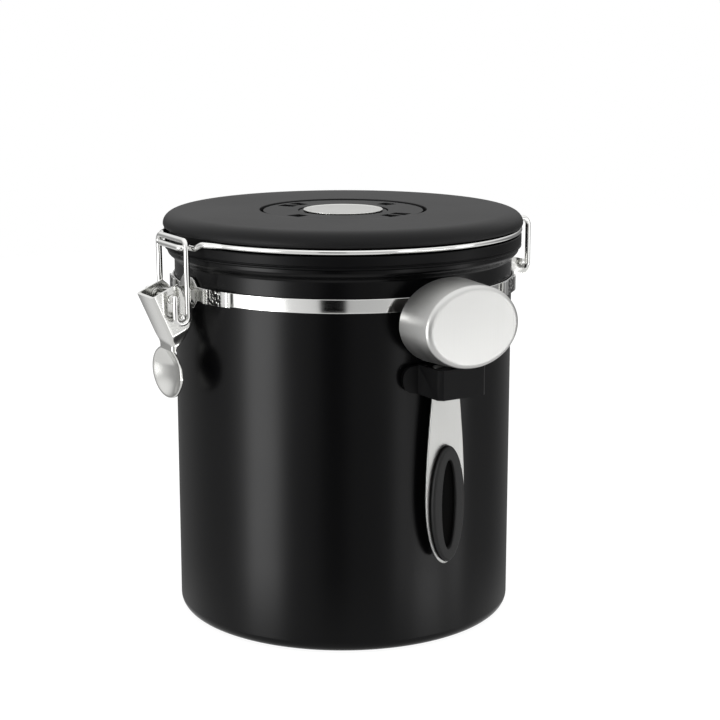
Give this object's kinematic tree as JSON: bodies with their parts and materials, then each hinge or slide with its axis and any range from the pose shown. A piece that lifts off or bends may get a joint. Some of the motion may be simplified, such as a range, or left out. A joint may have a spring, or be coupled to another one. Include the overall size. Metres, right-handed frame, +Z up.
{
  "type": "coffee canister",
  "caption": "Black steel coffee canister with a wire-bail clasp, hinged lid with a date dial and gas valve, and a steel scoop hung in a holder on its front.",
  "frame": {"origin": "centre of the can's base, on its underside", "axes": "+Z up through the lid; the clasp is at -X, the hinge at +X and the scoop at the front, close to -Y"},
  "size_m": [0.1587, 0.1513, 0.1502],
  "materials": {
    "enamel_black": "satin black enamel on stainless steel",
    "strap_steel": "polished stainless strip",
    "stamped_steel": "tumbled bright stainless stamping",
    "wire_chrome": "polished stainless wire",
    "cap_plastic": "fine satin moulding",
    "collar_plastic": "satin moulding",
    "holder_plastic": "satin moulding",
    "plate_plastic": "printed with plain numbers",
    "valve_plastic": "moulded",
    "badge_steel": "finely brushed, bare",
    "cup_steel": "brushed",
    "silicone": "matte silicone",
    "pad_foam": "adhesive foam",
    "filter_felt": "felt"
  },
  "bodies": {
    "canister": {"canister_body": "enamel_black", "strap_front": "strap_steel", "strap_back": "strap_steel", "strap_fold_clasp_front": "strap_steel", "strap_fold_clasp_back": "strap_steel", "strap_fold_hinge_front": "strap_steel", "strap_fold_hinge_back": "strap_steel", "clasp_bracket": "stamped_steel", "lever_rivet": "stamped_steel", "hinge_bracket": "stamped_steel", "scoop_holder": "holder_plastic", "holder_pad": "pad_foam"},
    "lid": {"lid_base": "collar_plastic", "lid_gasket": "silicone", "lid_cap": "cap_plastic", "number_plate": "plate_plastic", "lid_ring": "wire_chrome", "dial_hub": "collar_plastic", "badge_disc": "badge_steel", "valve_seat": "valve_plastic", "umbrella_valve": "silicone", "valve_filter": "filter_felt"},
    "dial": {"date_ring": "cap_plastic"},
    "lever": {"clasp_lever": "stamped_steel", "bail_pin": "wire_chrome"},
    "bail": {"bail_wire": "wire_chrome"},
    "scoop": {"scoop_cup": "cup_steel", "scoop_handle": "cup_steel", "scoop_grip": "silicone"}
  },
  "joints": [
    {"name": "lid_hinge", "type": "hinge", "parent": "canister", "child": "lid", "pos_m": [0.0753, 0, 0.124], "axis": [0, 1, 0], "range_deg": [0, 105]},
    {"name": "dial_turn", "type": "hinge", "parent": "lid", "child": "dial", "pos_m": [0, 0, 0.148], "axis": [0, 0, 1], "continuous": true},
    {"name": "lever_pivot", "type": "hinge", "parent": "canister", "child": "lever", "pos_m": [-0.07265, 0, 0.1234], "axis": [0, 1, 0], "range_deg": [0, 125]},
    {"name": "bail_pivot", "type": "hinge", "parent": "lever", "child": "bail", "pos_m": [-0.07115, 0, 0.1178], "axis": [0, 1, 0], "range_deg": [-125, 0]},
    {"name": "scoop_lift", "type": "slide", "parent": "canister", "child": "scoop", "axis": [0, 0, 1], "range_m": [0, 0.075]}
  ],
  "couplings": [
    {"joint": "bail_pivot", "follows": "lever_pivot", "ratio": -1}
  ]
}
